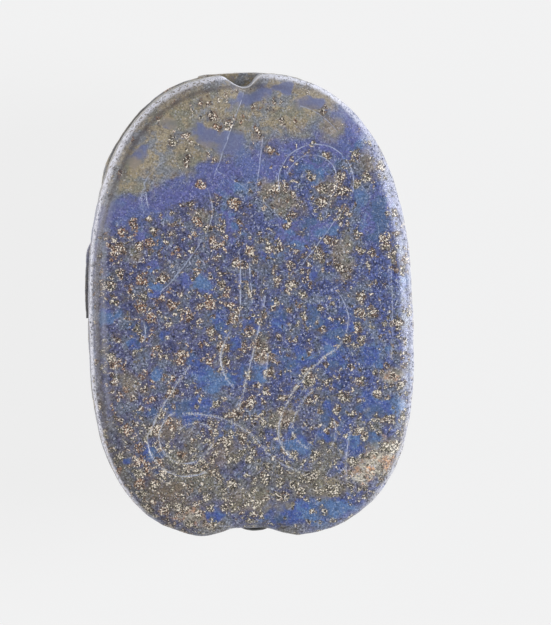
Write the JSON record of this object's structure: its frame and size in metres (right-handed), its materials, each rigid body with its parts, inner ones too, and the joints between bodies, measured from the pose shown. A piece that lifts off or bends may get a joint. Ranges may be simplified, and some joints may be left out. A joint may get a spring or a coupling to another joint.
{
  "type": "scarab amulet",
  "caption": "Carved lapis lazuli beetle on an oval base plate, drilled lengthwise for a string, lying on its back with the worn seal face up.",
  "frame": {"origin": "on the surface it lies on, under the middle of the base plate", "axes": "+Z out of the seal face, +Y towards the beetle's head, +X to the right seen from the seal face"},
  "size_m": [0.017, 0.0242, 0.0102],
  "materials": {
    "lapis": "worn polish over a pitted, speckled grey-blue stone"
  },
  "bodies": {
    "root": {"scarab": "lapis"}
  },
  "joints": []
}
